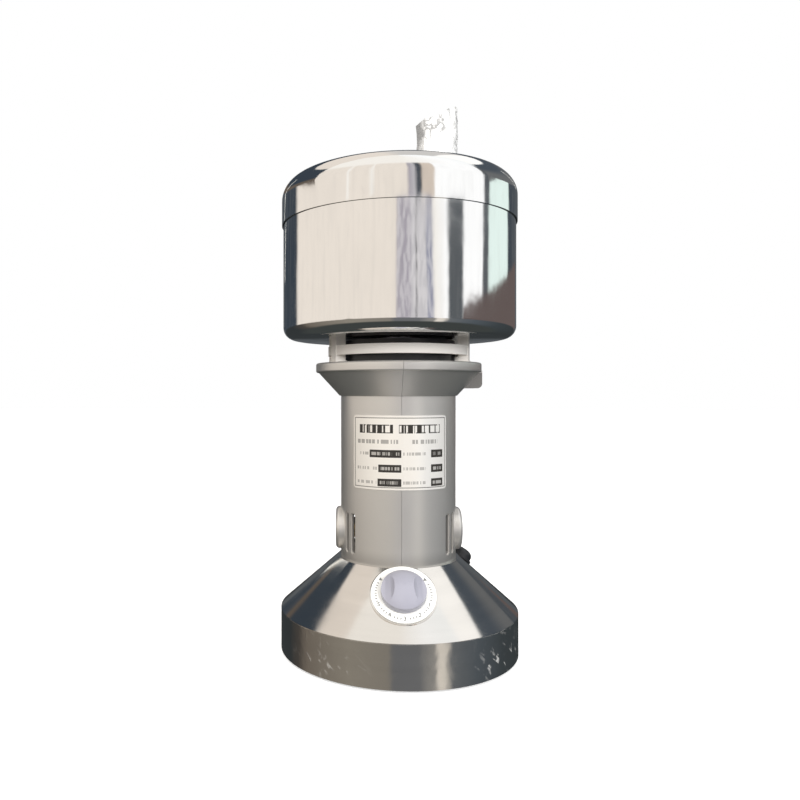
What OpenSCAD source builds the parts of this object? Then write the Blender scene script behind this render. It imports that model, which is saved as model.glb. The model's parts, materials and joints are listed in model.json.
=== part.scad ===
// Small high-speed powder mill: a motor in a slim column stands on a conical
// steel base and drives blades inside a steel bowl, which a domed lid closes.
// The column's axis is Z, the front with the timer looks along -Y, and Z = 0 is
// the surface that the rubber feet stand on.

/* [Base] */
// Radius of the base
base_r = 75; // [66:0.5:90]
// Height of the upright band round the base
band_h = 25.5; // [20:0.5:32]
// Height of the cone above the band
cone_h = 32; // [27:0.5:38]
// Thickness of the pressed sheet
sheet_t = 1; // [0.8:0.1:1.4]
// How far the feet hold the base off the surface
foot_gap = 1.5; // [1:0.1:2.5]
// Radius of a rubber foot
foot_r = 9; // [7:0.5:11]

/* [Timer] */
// Radius of the dial plate
dial_r = 18.7; // [16:0.1:20]
// Gap between the column and the edge of the dial
dial_gap = 1.34; // [0.8:0.01:5]
// Radius of the timer's body
timer_r = 16.5; // [12:0.5:17]
// Radius of the knob
knob_r = 13; // [10:0.5:14]
// Height of the knob above the dial
knob_h = 10; // [9:0.5:16]
// Width of the grip across the knob
grip_w = 7.6; // [5:0.2:10]

/* [Column] */
// Outer radius of the column
column_r = 36.6; // [36:0.2:44]
// Height of the column's straight part
column_h = 102.2; // [98:0.2:125]
// Wall of the two housing halves
wall = 2.4; // [1.8:0.1:3]
// Radius of the collar's rim
rim_r = 52.7; // [50.5:0.1:58]
// Height of the collar below its rim
collar_h = 14.7; // [13:0.1:18]
// Height of the rim
rim_h = 5.9; // [5:0.1:8]
// Gap left between the two halves
split_gap = 0.15; // [0.1:0.05:0.5]
// Height of an air slot
slot_h = 24; // [18:0.5:26]
// Width of an air slot
slot_w = 3.2; // [2:0.1:4]
// Radius of the boss round each brush cap
boss_r = 13.5; // [11:0.5:14]
// How far that boss stands out of the column
boss_out = 3.2; // [2:0.1:5]
// Width of the label plate, along its projection
label_w = 56; // [36:0.2:60]
// Height of the label plate
label_h = 44.4; // [30:0.1:52]

/* [Motor] */
// Radius of the shaft in the upper bearing
shaft_r = 5; // [4.5:0.1:6]
// Radius of the shaft in the lower bearing and at the blades
journal_r = 4; // [3:0.1:4.3]
// Radius of the armature
armature_r = 17; // [14:0.5:18]
// Length of the laminated stack
stack_h = 40; // [30:1:44]
// Radius of the commutator
commutator_r = 11; // [9:0.5:12]
// Radius of the fan
fan_r = 25; // [20:0.5:25.5]
// Radius of the circle of through-bolts
bolt_at_r = 29.5; // [29:0.1:30]

/* [Cage] */
// Outer radius of the cage's ring
cage_r = 44.8; // [43.6:0.1:45.2]
// Height of the posts
post_h = 15.2; // [12:0.1:24]
// Width of a post
post_w = 7; // [6:0.1:10]
// Height of the cage's ring
ring_h = 5.8; // [3:0.1:8]
// Angle between a post and the side of the mill
post_angle = 20; // [14:1:30]
// Turn of the cage from square
cage_turn = 5; // [-10:1:10]

/* [Bowl and lid] */
// Outer radius of the bowl
bowl_r = 73.7; // [66:0.1:90]
// Height of the bowl
bowl_h = 85; // [72:0.5:110]
// Wall of the bowl
bowl_t = 1.2; // [0.8:0.1:2]
// Radius between the bowl's floor and its wall
bowl_corner = 7.5; // [5:0.5:12]
// Wall of the lid
lid_t = 0.6; // [0.6:0.1:1.2]
// Radius of the lid's shoulder
lid_corner = 13.5; // [10:0.5:18]
// Overlap of the lid's skirt and the bowl
skirt_h = 12.5; // [8:0.5:20]
// Distance of the lid's knob from the axis
lid_knob_at = 25; // [0:0.5:35]
// Radius of the lid's knob
lid_knob_r = 12.2; // [10:0.1:15]
// Height of the lid's knob
lid_knob_h = 36; // [25:0.5:38]

/* [Blades] */
// Radius that the lower blade sweeps
lower_blade_r = 64; // [50:0.5:65]
// Radius that the hammer bar sweeps
hammer_r = 58; // [45:0.5:64]
// Radius that the upper blade sweeps
upper_blade_r = 50; // [40:0.5:60]
// Thickness of a blade
blade_t = 2.5; // [1.5:0.1:3]
// Height of a spacer between two blades
spacer_h = 8; // [6:0.5:12]

/* [Hidden] */

$fn = 96;
eps = 0.01;        // overlap that joins the solids of one piece
run = 0.05;        // radial clearance of a turning fit
snug = 0.02;       // radial clearance of a pressed or screwed fit
grip = 0.1;        // clearance where the housing holds a piece
ease = 0.3;        // clearance between the lid and the bowl
seat = 0.3;        // clearance of a seal at rest

// Levels, from the feet up
z_rim = foot_gap;
z_band = z_rim + band_h;
z_lip = z_band + cone_h;
z_collar = z_lip + column_h;
z_rim_low = z_collar + collar_h;
z_rim_top = z_rim_low + rim_h;
z_bowl = z_rim_top + post_h;
z_floor = z_bowl + bowl_t;
z_bowl_top = z_bowl + bowl_h;

// Base
lip_edge_r = column_r + 1.9;
lip_in_r = 28;
slope = atan2(cone_h, base_r - lip_edge_r);
tab_t = 1.2;
tab_in_r = base_r - 13;
plate_t = 1.5;
plate_r = base_r - sheet_t - 0.3;
z_plate = z_rim + 1.5;
screw_at_r = base_r - 8;
foot_at_r = base_r - 19;
clamp_t = 3;
clamp_out_r = lip_edge_r + 1.5;
clamp_screw_at = lip_in_r + 3;
m4_r = 2;
m4_head_r = 3.6;
m4_head_h = 2.2;

// Timer
dial_at_r = column_r + dial_gap + dial_r * cos(slope);
pad_h = 0.4;
pad_r = dial_r + 0.7;
pad_skin = sheet_t;
dial_t = 0.8;
dial_top = pad_h + dial_t;
bush_out_r = 4.5;
timer_flat = 11;
timer_depth = 16;
timer_top = pad_h - pad_skin;
spindle_r = 3;
knob_gap = 0.6;
timer_nut_h = 2.2;
knob_edge_h = 4.8;
knob_drop = knob_h - knob_edge_h;
knob_dome_r = (knob_r * knob_r + knob_drop * knob_drop) / (2 * knob_drop);

// Cable gland
gland_angle = 29;
gland_at_r = lip_edge_r + 9.5;
gland_r = 6.6;
gland_h = 8;
cord_hole_r = 3.2;
gland_bore_h = gland_h + 7;

// Column and collar
inner_r = column_r - wall;
collar_foot_r = column_r + 0.9;
collar_top_r = rim_r - 0.7;
ledge_r = rim_r - 8.7;
bracket_r = rim_r - 6.4;
brush_z = z_lip + 17.4;
label_z = z_lip + 68.3;
label_t = 0.4;
label_turn = -1;
lug_out = rim_r - 0.4;
lug_w = 18;
lug_h = 10;

// Motor
bracket_t = 4;
spacer_r = 3;
bearing_low_z = z_lip + 2;
bearing_low_r = 11;
bearing_low_h = 7;
z_stack = z_lip + 37;
z_stack_top = z_stack + stack_h;
stator_r = inner_r - 2.2;
air_gap = 0.6;
coil_in_r = armature_r + 1.6;
coil_out_r = bolt_at_r - spacer_r - 1;
coil_end = 6.5;
coil_gap = 5;
top_plate_t = 5;
z_top_plate = z_rim_top - top_plate_t;
bearing_top_r = 15;
bearing_top_h = 9;
bearing_top_z = z_top_plate - 9.8;
hub_top_r = bearing_top_r + 4;
brush_w = 8;
brush_d = 6;
brush_in = commutator_r + 0.3;
brush_l = 12;
holder_r = 6.5;
holder_out = inner_r - 1;
spring_l = 8;
cap_r = 8.5;

// Cage
post_in = cage_r - 6.2;
post_out = cage_r + 0.4;
ring_w = 4.5;
ring_z = z_rim_top + 4.7;
cage_screw_at = ledge_r - 3;
bowl_screw_at = cage_r - 3;
cap_drum_r = post_in - 2.6;
cap_drum_t = 2;
cap_hole_r = 15.5;

// Rotor in the bowl
bush_hole_r = 8.5;
shaft_shoulder = z_floor + 4.8;
z_lower_blade = shaft_shoulder;
z_hammer = z_lower_blade + blade_t + spacer_h;
hammer_t = 5;
z_upper_blade = z_hammer + hammer_t + spacer_h;
z_washer = z_upper_blade + blade_t;
washer_t = 1.5;
nut_h = 6.5;
z_nut = z_washer + washer_t;
blade_hub_r = 9;

// Lid
seal_h = 3;
lid_r = bowl_r + ease + lid_t;
z_seal = z_bowl_top + seat;
z_flange = z_seal + seal_h + seat;
flange_t = 1;
z_lid_top = z_flange - 0.6 + lid_corner;
z_skirt = z_bowl_top - skirt_h;
seal_in_r = bowl_r - 7.5;
film_gap = 1.9;
film_t = 0.4;
film_rise = 9.5;

// Height of the cone's surface at a radius
function cone_z(r) = z_band + (base_r - r) * tan(slope);

// Moves to the cone's surface, with local +Z out of it and local +X down the slope
module on_cone(angle, r) {
    rotate([0, 0, angle])
        translate([r, 0, cone_z(r)])
            rotate([0, slope, 0])
                children();
}

// Copies at four angles round the axis
module four(at_r, first = 45) {
    for (i = [0 : 3])
        rotate([0, 0, first + 90 * i])
            translate([at_r, 0, 0])
                children();
}

// Copies at the cage's four posts
module at_posts(at_r) {
    for (a = [post_angle, 180 - post_angle, 180 + post_angle, -post_angle])
        rotate([0, 0, a + cage_turn])
            translate([at_r, 0, 0])
                children();
}

// Cylinder between two heights
module rod(r, z0, z1) {
    translate([0, 0, z0])
        cylinder(r = r, h = z1 - z0);
}

// Tube between two heights
module tube(r_out, r_in, z0, z1) {
    difference() {
        rod(r_out, z0, z1);
        rod(r_in, z0 - 1, z1 + 1);
    }
}

// Hexagonal prism by its width across flats
module hex(flats, z0, z1) {
    translate([0, 0, z0])
        cylinder(r = flats / sqrt(3), h = z1 - z0, $fn = 6);
}

// Pan-head screw pointing down, its head's seat at z = 0
module pan_screw(r, head_r, head_h, length) {
    difference() {
        rotate_extrude() {
            translate([0, -length])
                square([r, length + head_h / 2]);
            square([head_r, head_h * 0.55]);
            square([head_r - head_h * 0.45, head_h]);
            intersection() {
                translate([head_r - head_h * 0.45, head_h * 0.55])
                    circle(head_h * 0.45, $fn = 32);
                translate([head_r - head_h * 0.45, head_h * 0.55])
                    square(head_h);
            }
        }
        for (a = [0, 90])
            rotate([0, 0, a])
                translate([-head_r * 0.55, -0.4, head_h * 0.45])
                    cube([head_r * 1.1, 0.8, head_h]);
    }
}

// Half section of a round block, with a rounded lower or upper outer corner
module round_block(w, z0, z1, low = 0, high = 0) {
    translate([0, z0 + low])
        square([w, z1 - z0 - low - high]);
    if (low > 0) {
        translate([0, z0])
            square([w - low, low]);
        intersection() {
            translate([w - low, z0 + low])
                circle(low);
            translate([w - low, z0])
                square(low);
        }
    }
    if (high > 0) {
        translate([0, z1 - high])
            square([w - high, high]);
        intersection() {
            translate([w - high, z1 - high])
                circle(high);
            translate([w - high, z1 - high])
                square(high);
        }
    }
}

// Sector of a ring between two angles
module sector(r_out, r_in, a0, a1, z0, z1) {
    translate([0, 0, z0])
        rotate([0, 0, a0])
            rotate_extrude(angle = a1 - a0)
                translate([r_in, 0])
                    square([r_out - r_in, z1 - z0]);
}

// ---------------------------------------------------------------- base

// Solid under the cone, down to the rim, a given depth below its surface
module base_solid(depth) {
    drop = depth / cos(slope);
    top = z_lip - depth;
    top_r = base_r - (top - z_band + drop) / tan(slope);
    side_r = base_r - depth;
    rotate_extrude()
        polygon([[0, z_rim - (depth > 0 ? 1 : 0)], [side_r, z_rim - (depth > 0 ? 1 : 0)],
            [side_r, z_band - drop + depth * tan(slope)], [depth > 0 ? top_r : lip_edge_r, top], [0, top]]);
}

module base_shell() color("gainsboro") {
    difference() {
        union() {
            base_solid(0);
            on_cone(-90, dial_at_r)
                rod(pad_r, -4, pad_h);
        }
        base_solid(sheet_t);
        rod(lip_in_r, z_lip - 20, z_lip + 1);
        rod(column_r + grip, z_lip, z_lip + 9);
        on_cone(-90, dial_at_r) {
            rod(pad_r - sheet_t, -4, pad_h - pad_skin);
            rod(bush_out_r + 0.2, -9, pad_h + 1);
        }
        on_cone(gland_angle, gland_at_r)
            rod(gland_r - 1.4, -5, 5);
        four(clamp_screw_at, 0)
            rod(m4_r + 0.2, z_lip - 5, z_lip + 1);
    }
    // Tabs that the bottom plate is screwed to
    four(0)
        difference() {
            translate([tab_in_r, -6, z_plate + plate_t])
                cube([base_r - sheet_t / 2 - tab_in_r - 0.6, 12, tab_t]);
            translate([screw_at_r, 0, 0])
                rod(m4_r + snug, z_plate, z_plate + 9);
        }
}

module base_plate() color("silver")
    difference() {
        rod(plate_r, z_plate, z_plate + plate_t);
        four(screw_at_r)
            rod(m4_r + 0.2, z_plate - 1, z_plate + 5);
        four(foot_at_r, 0)
            rod(3.1, z_plate - 1, z_plate + 5);
        // Air slots
        for (x = [-24 : 8 : 24])
            translate([x - 1.5, -20, z_plate - 1])
                cube([3, 40, 5]);
    }

module rubber_feet() color("dimgray")
    four(foot_at_r, 0) {
        rotate_extrude()
            round_block(foot_r, 0, z_plate, 1, 0);
        rod(3, z_plate - eps, z_plate + plate_t);
        rod(4.4, z_plate + plate_t, z_plate + plate_t + 1.6);
    }

module plate_screws() color("silver")
    four(screw_at_r)
        translate([0, 0, z_plate])
            rotate([180, 0, 0])
                pan_screw(m4_r, m4_head_r, m4_head_h, 6);

module clamp_ring() color("darkgray")
    difference() {
        tube(clamp_out_r, lip_in_r, z_lip - sheet_t - clamp_t, z_lip - sheet_t);
        four(clamp_screw_at, 0)
            rod(m4_r + 0.2, z_lip - 9, z_lip);
        // Relief for the cone's slope
        difference() {
            rod(clamp_out_r + 1, z_lip - 9, z_lip);
            base_solid(sheet_t + 0.3);
        }
    }

module clamp_screws() color("silver")
    four(clamp_screw_at, 0)
        translate([0, 0, z_lip - sheet_t - clamp_t])
            rotate([180, 0, 0])
                pan_screw(m4_r, m4_head_r, m4_head_h, clamp_t + sheet_t + bracket_t - 0.5);

module cable_gland() color("black")
    on_cone(gland_angle, gland_at_r)
        difference() {
            union() {
                rotate_extrude()
                    round_block(gland_r, 0.9, gland_h, 0, 3.6);
                rod(gland_r + 1.2, 0.9, 2.6);
                rod(gland_r - 1.6, -6, 1);
            }
            rod(cord_hole_r, gland_h - gland_bore_h, gland_h + 1);
        }

module gland_nut() color("dimgray")
    on_cone(gland_angle, gland_at_r)
        difference() {
            hex(14, -4.6, -1.9);
            rod(gland_r - 1.6 + snug, -6, 1);
        }

module terminal_block() color("ivory")
    translate([-14, 30, z_plate + plate_t])
        difference() {
            cube([28, 12, 13]);
            for (i = [0 : 2])
                translate([5 + 9 * i, 6, 4]) {
                    cylinder(r = 2.2, h = 12);
                    translate([0, 8, 3])
                        rotate([90, 0, 0])
                            cylinder(r = 1.5, h = 16);
                }
        }

// ---------------------------------------------------------------- timer

module dial_plate() color("white")
    on_cone(-90, dial_at_r)
        tube(dial_r, bush_out_r + 0.2, pad_h, dial_top);

module timer_body() color("beige")
    on_cone(-90, dial_at_r)
        difference() {
            union() {
                intersection() {
                    rod(timer_r, timer_top - timer_depth, timer_top);
                    translate([-timer_flat, -timer_r, timer_top - timer_depth])
                        cube([timer_flat + timer_r, 2 * timer_r, timer_depth]);
                }
                rod(timer_r - 6, timer_top - timer_depth - 4, timer_top - timer_depth + eps);
                rod(bush_out_r, timer_top - eps, dial_top + timer_nut_h + 0.5);
            }
            rod(spindle_r + run, timer_top - timer_depth + 4, dial_top + 9);
        }

module timer_nut() color("silver")
    on_cone(-90, dial_at_r)
        difference() {
            hex(13, dial_top, dial_top + timer_nut_h);
            rod(bush_out_r + snug, dial_top - 1, dial_top + 9);
        }

module timer_shaft() color("gray")
    on_cone(-90, dial_at_r)
        rod(spindle_r, timer_top - timer_depth + 4.4, dial_top + knob_h - 4);

module timer_knob() color("lightsteelblue")
    on_cone(-90, dial_at_r)
        difference() {
            translate([0, 0, dial_top + knob_gap])
                rotate_extrude()
                    intersection() {
                        round_block(knob_r, 0, knob_h - knob_gap, 0.5, 0);
                        translate([0, knob_h - knob_gap - knob_dome_r])
                            circle(knob_dome_r);
                    }
            // Scooped sides that leave the grip
            scoop = knob_r - 2;
            for (side = [-1, 1])
                translate([0, side * (grip_w / 2 + scoop), dial_top + 4 + scoop])
                    rotate([0, 90, 0])
                        cylinder(r = scoop, h = 3 * knob_r, center = true);
            // Hollow over the nut
            rod(8.2, dial_top, dial_top + timer_nut_h + 1);
            rod(spindle_r + snug, dial_top, dial_top + knob_h - 3.8);
        }

// ---------------------------------------------------------------- column

// Outline of the column and collar in half section
module housing_outline() {
    translate([0, z_lip])
        square([column_r, column_h + 1]);
    polygon([[0, z_collar], [collar_foot_r, z_collar], [collar_top_r, z_rim_low + 1], [0, z_rim_low + 1]]);
    round_block(rim_r, z_rim_low, z_rim_top, 1, 1.2);
}

// The hollow inside them, with the ledge that the upper bracket rests on
module housing_hollow() {
    translate([0, z_lip - 1])
        square([inner_r, column_h + 2]);
    polygon([[0, z_collar + 1], [inner_r, z_collar + 1], [ledge_r, z_top_plate + eps], [0, z_top_plate + eps]]);
    translate([0, z_top_plate])
        square([bracket_r + 0.2, top_plate_t + 1]);
}

// Air slot with a shallow surround, at an angle from the front
module air_slot(angle) {
    rotate([0, 0, -90 + angle])
        translate([inner_r - 4, 0, brush_z])
            rotate([0, 90, 0]) {
                linear_extrude(wall + 8)
                    slot_outline(slot_w, slot_h);
                translate([0, 0, 4 + wall - 0.8])
                    linear_extrude(5)
                        slot_outline(slot_w + 1.6, slot_h + 1.6);
            }
}

module slot_outline(w, h) {
    square([h - w, w], center = true);
    for (end = [-1, 1])
        translate([end * (h - w) / 2, 0])
            circle(w / 2, $fn = 32);
}

module brush_boss()
    translate([0, 0, brush_z])
        rotate([0, 90, 0])
            rotate_extrude()
                round_block(boss_r, inner_r - 2, column_r + boss_out, 0, 2.4);

module lug()
    translate([0, lug_w / 2, 0])
        rotate([90, 0, 0])
            linear_extrude(lug_w)
                intersection() {
                    round_block(lug_out, z_rim_low - lug_h, z_rim_low + 1, 3, 0);
                    translate([column_r + 3, 0])
                        square([20, z_rim_low + 2]);
                }

// Screw bosses on the rear of the halves: height, distance behind the axis
rear_bosses = [[z_lip + 12, inner_r - 3.6], [z_stack_top + 14, inner_r - 3.6], [z_rim_low - 4.9, ledge_r - 8]];
rear_boss_r = 3.4;
screw_r = 1.5;
head_x = 9;

// Everything on one side of the split between the two halves
module half_space(side)
    translate([side > 0 ? split_gap / 2 : -200 - split_gap / 2, -200, 0])
        cube([200, 400, 400]);

module housing_half(side) {
    intersection() {
        difference() {
            union() {
                rotate_extrude()
                    housing_outline();
                rotate([0, 0, side > 0 ? 0 : 180])
                    brush_boss();
                if (side > 0)
                    lug();
            }
            difference() {
                rotate_extrude()
                    housing_hollow();
                for (b = rear_bosses)
                    translate([0, b[1], b[0]])
                        rotate([0, 90, 0])
                            cylinder(r = rear_boss_r, h = 18, center = true);
            }
            for (a = [52.5, 63], m = [-1, 1], half = [0, 180])
                air_slot(half + m * a);
            // Seat of the brush cap and holder
            translate([0, 0, brush_z])
                rotate([0, 90, 0]) {
                    cylinder(r = holder_r + grip, h = 200, center = true);
                    rod(cap_r + grip, column_r - 2, column_r + 20);
                    rod(cap_r + grip, -column_r - 20, -column_r + 2);
                }
            for (b = rear_bosses)
                translate([0, b[1], b[0]])
                    rotate([0, 90, 0]) {
                        rod(screw_r + grip, -7.5, head_x + 1);
                        rod(3, head_x, 60);
                    }
        }
        half_space(side);
    }
    // Ribs that grip the stator
    for (z = [z_stack + 6, z_stack_top - 8])
        intersection() {
            tube(inner_r + eps, stator_r + grip, z, z + 2);
            half_space(side);
        }
}

module housing_left() color("silver")
    housing_half(-1);

module housing_right() color("silver")
    housing_half(1);

module housing_screws() color("dimgray")
    for (b = rear_bosses)
        translate([head_x, b[1], b[0]])
            rotate([0, 90, 0])
                pan_screw(screw_r, 2.6, 1.6, head_x + 6.5);

module label_plate() color("lightgray")
    intersection() {
        tube(column_r + label_t + run, column_r + run, label_z - label_h, label_z + label_h);
        translate([0, 0, label_z])
            rotate([90, 0, label_turn])
                linear_extrude(column_r + 5)
                    label_outline();
    }

module label_outline() {
    corner = 1.6;
    square([label_w - 2 * corner, label_h], center = true);
    square([label_w, label_h - 2 * corner], center = true);
    for (x = [-1, 1], y = [-1, 1])
        translate([x * (label_w / 2 - corner), y * (label_h / 2 - corner)])
            circle(corner, $fn = 32);
}

// ---------------------------------------------------------------- motor

// Copies on both sides, with local +Z out of the column through the brush
module at_brushes()
    for (a = [0, 180])
        rotate([0, 0, a])
            translate([0, 0, brush_z])
                rotate([0, 90, 0])
                    children();

module brush_caps() color("dimgray")
    at_brushes()
        difference() {
            rotate_extrude()
                round_block(cap_r, column_r - 2, column_r + boss_out - 0.4, 0, 0.8);
            translate([-cap_r, -0.8, column_r + boss_out - 1.8])
                cube([2 * cap_r, 1.6, 4]);
        }

module brush_holders() color("goldenrod")
    at_brushes()
        difference() {
            rod(holder_r, brush_in + 2, column_r - 2);
            translate([-(brush_w + 0.2) / 2, -(brush_d + 0.2) / 2, 0])
                cube([brush_w + 0.2, brush_d + 0.2, column_r]);
        }

module carbon_brushes() color("#333333")
    at_brushes()
        translate([-brush_w / 2, -brush_d / 2, brush_in])
            cube([brush_w, brush_d, brush_l]);

module brush_springs() color("silver")
    at_brushes()
        translate([0, 0, brush_in + brush_l + 0.1])
            coil(2.3, 0.35, column_r - 2.2 - brush_in - brush_l, 6);

// Open coil spring of round wire, standing on z = 0
module coil(r, wire, height, turns, steps = 14, sides = 6) {
    rings = turns * steps;
    rise = (height - 2 * wire) / rings;
    points = [for (i = [0 : rings], j = [0 : sides - 1])
        let (a = 360 * i / steps, b = 360 * j / sides, rr = r + wire * cos(b))
        [rr * cos(a), rr * sin(a), wire + rise * i + wire * sin(b)]];
    skin = [for (i = [0 : rings - 1], j = [0 : sides - 1])
        let (k = (j + 1) % sides)
        [i * sides + j, i * sides + k, (i + 1) * sides + k, (i + 1) * sides + j]];
    start = [for (j = [0 : sides - 1]) sides - 1 - j];
    end = [for (j = [0 : sides - 1]) rings * sides + j];
    polyhedron(points, concat([start, end], skin));
}

module lower_bracket() color("lightgray")
    difference() {
        union() {
            rod(inner_r - 0.2, z_lip, z_lip + bracket_t);
            rod(bearing_low_r + 3, z_lip, bearing_low_z + bearing_low_h);
        }
        rod(bearing_low_r + snug, bearing_low_z, z_lip + 20);
        rod(journal_r + 2.5, z_lip - 1, z_lip + 20);
        four(clamp_screw_at, 0)
            rod(m4_r + snug, z_lip - 1, z_lip + 20);
        four(bolt_at_r)
            rod(m4_r + snug, z_lip - 1, z_lip + 20);
        for (a = [22.5 : 45 : 360])
            rotate([0, 0, a])
                translate([21.5, 0, 0])
                    rod(4, z_lip - 1, z_lip + 20);
    }

// Ball bearing drawn as its two rings and shields in one piece
module bearing(r_out, r_in, z, h)
    difference() {
        tube(r_out, r_in, z, z + h);
        for (face = [z - 1, z + h - 0.4])
            tube(r_out - 1.6, r_in + 1.6, face, face + 1.4);
    }

module lower_bearing() color("silver")
    bearing(bearing_low_r, journal_r + run, bearing_low_z, bearing_low_h);

module upper_bearing() color("silver")
    bearing(bearing_top_r, shaft_r + run, bearing_top_z, bearing_top_h);

module stator_core() color("slategray")
    difference() {
        rod(stator_r, z_stack, z_stack_top);
        rod(armature_r + air_gap, z_stack - 1, z_stack_top + 1);
        // Windows for the coils
        for (a = [-50, 130])
            sector(coil_out_r + 0.4, armature_r, a, a + 100, z_stack - 1, z_stack_top + 1);
        four(bolt_at_r)
            rod(m4_r + 0.1, z_stack - 1, z_stack_top + 1);
    }

module stator_coils() color("peru")
    for (pole = [0, 180])
        rotate([0, 0, pole]) {
            low = z_stack - 0.5;
            high = z_stack_top + 0.5;
            difference() {
                sector(coil_out_r, coil_in_r, coil_gap, 180 - coil_gap, low - coil_end, high + coil_end);
                sector(coil_out_r + 1, coil_in_r - 1, coil_gap + 40, 140 - coil_gap, low, high);
            }
        }

module motor_bolts() color("gray")
    four(bolt_at_r) {
        rod(m4_r, z_lip + 0.5, z_rim_top - 0.8);
        rod(3.5, z_rim_top - 3.8, z_rim_top - 0.8);
    }

module bolt_spacers() color("silver")
    four(bolt_at_r) {
        tube(spacer_r, m4_r + snug, z_lip + bracket_t, z_stack);
        tube(spacer_r, m4_r + snug, z_stack_top, z_top_plate);
    }

module upper_bracket() color("lightgray")
    difference() {
        union() {
            rod(bracket_r, z_top_plate, z_rim_top);
            rod(hub_top_r, bearing_top_z - 1, z_top_plate + 1);
        }
        rod(bearing_top_r + snug, bearing_top_z - 2, bearing_top_z + bearing_top_h);
        rod(shaft_r + 1.5, z_top_plate - 20, z_rim_top + 1);
        four(bolt_at_r) {
            rod(m4_r + 0.1, z_top_plate - 1, z_rim_top + 1);
            rod(3.6, z_rim_top - 3.8, z_rim_top + 1);
        }
        at_posts(cage_screw_at)
            rod(screw_r + 0.2, z_top_plate - 1, z_rim_top + 1);
        // Air passages
        four(30, 0)
            rod(7, z_top_plate - 1, z_rim_top + 1);
    }

module motor_shaft() color("silver") {
    rod(journal_r, bearing_low_z - 0.5, bearing_low_z + bearing_low_h + 0.6);
    rod(shaft_r, bearing_low_z + bearing_low_h + 0.5, shaft_shoulder);
    rod(journal_r, shaft_shoulder - 1, z_nut + nut_h + 2);
}

module armature_core() color("slategray")
    difference() {
        rod(armature_r, z_stack, z_stack_top);
        rod(shaft_r + snug, z_stack - 1, z_stack_top + 1);
        for (i = [0 : 11])
            rotate([0, 0, 30 * i]) {
                translate([armature_r - 4, -0.8, z_stack - 1])
                    cube([8, 1.6, stack_h + 2]);
                translate([armature_r - 5, 0, 0])
                    rod(2, z_stack - 1, z_stack_top + 1);
            }
    }

// Copper in the core's slots and the end turns that join it
module armature_windings() color("peru") {
    for (i = [0 : 11])
        rotate([0, 0, 30 * i])
            translate([armature_r - 5, 0, 0])
                rod(1.9, z_stack - 1, z_stack_top + 1);
    for (z = [z_stack - 7, z_stack_top + 0.2])
        difference() {
            translate([0, 0, z])
                rotate_extrude()
                    round_block(armature_r - 2.5, 0, 6.8, 1.5, 1.5);
            rod(shaft_r + snug, z - 1, z + 9);
        }
}

module commutator() color("chocolate")
    difference() {
        tube(commutator_r, shaft_r + snug, brush_z - 7, brush_z + 9);
        for (i = [0 : 23])
            rotate([0, 0, 15 * i])
                translate([commutator_r - 1, -0.25, brush_z - 8])
                    cube([3, 0.5, 18]);
    }

module fan() color("black")
    difference() {
        union() {
            rod(9, z_stack_top + 17, z_stack_top + 27);
            rod(fan_r, z_stack_top + 17, z_stack_top + 18.5);
            for (i = [0 : 9])
                rotate([0, 0, 36 * i])
                    translate([7, -0.7, z_stack_top + 18])
                        cube([fan_r - 7.4, 1.4, 8]);
        }
        rod(shaft_r + snug, z_stack_top + 10, z_stack_top + 40);
    }

// ---------------------------------------------------------------- cage and bowl

module cage() color("wheat")
    difference() {
        union() {
            tube(cage_r, cage_r - ring_w, ring_z, ring_z + ring_h);
            at_posts(0) {
                translate([post_in, -post_w / 2, z_rim_top])
                    cube([post_out - post_in, post_w, post_h]);
                translate([post_in - 0.6, -post_w / 2 - 1, z_rim_top])
                    cube([post_out - post_in + 1.2, post_w + 2, 1.2]);
            }
        }
        at_posts(cage_screw_at)
            rod(screw_r + snug, z_rim_top - 1, z_rim_top + 7);
        at_posts(bowl_screw_at)
            rod(m4_r + snug, z_bowl - 8, z_bowl + 1);
    }

// Drum that covers the top of the motor inside the cage
module motor_cap() color("#222222")
    difference() {
        rod(cap_drum_r, z_rim_top, z_bowl - 1.2);
        rod(cap_drum_r - cap_drum_t, z_rim_top - 1, z_bowl - 1.2 - cap_drum_t);
        rod(cap_hole_r, z_rim_top, z_bowl + 1);
    }

module cage_screws() color("silver")
    at_posts(cage_screw_at)
        translate([0, 0, z_top_plate])
            rotate([180, 0, 0])
                pan_screw(screw_r, 1.9, 1.4, top_plate_t + 6);

module bowl() color("gainsboro")
    difference() {
        rotate_extrude()
            round_block(bowl_r, z_bowl, z_bowl_top, bowl_corner, 0);
        rotate_extrude()
            round_block(bowl_r - bowl_t, z_floor, z_bowl_top + 1, bowl_corner - bowl_t, 0);
        rod(bush_hole_r + 0.1, z_bowl - 1, z_floor + 1);
        at_posts(bowl_screw_at)
            rod(m4_r + 0.2, z_bowl - 1, z_floor + 1);
    }

module bowl_screws() color("silver")
    at_posts(bowl_screw_at)
        translate([0, 0, z_floor])
            pan_screw(m4_r, m4_head_r, m4_head_h, 8);

module shaft_bush() color("goldenrod")
    difference() {
        union() {
            rod(bush_hole_r, z_bowl - 6, z_floor + 0.5);
            rotate_extrude()
                round_block(12, z_floor, z_floor + 2.5, 0, 1);
        }
        rod(shaft_r + run, z_bowl - 9, z_floor + 9);
    }

module bush_nut() color("silver")
    difference() {
        hex(24, z_bowl - 4, z_bowl);
        rod(bush_hole_r + snug, z_bowl - 9, z_bowl + 1);
    }

// ---------------------------------------------------------------- blades

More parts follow.
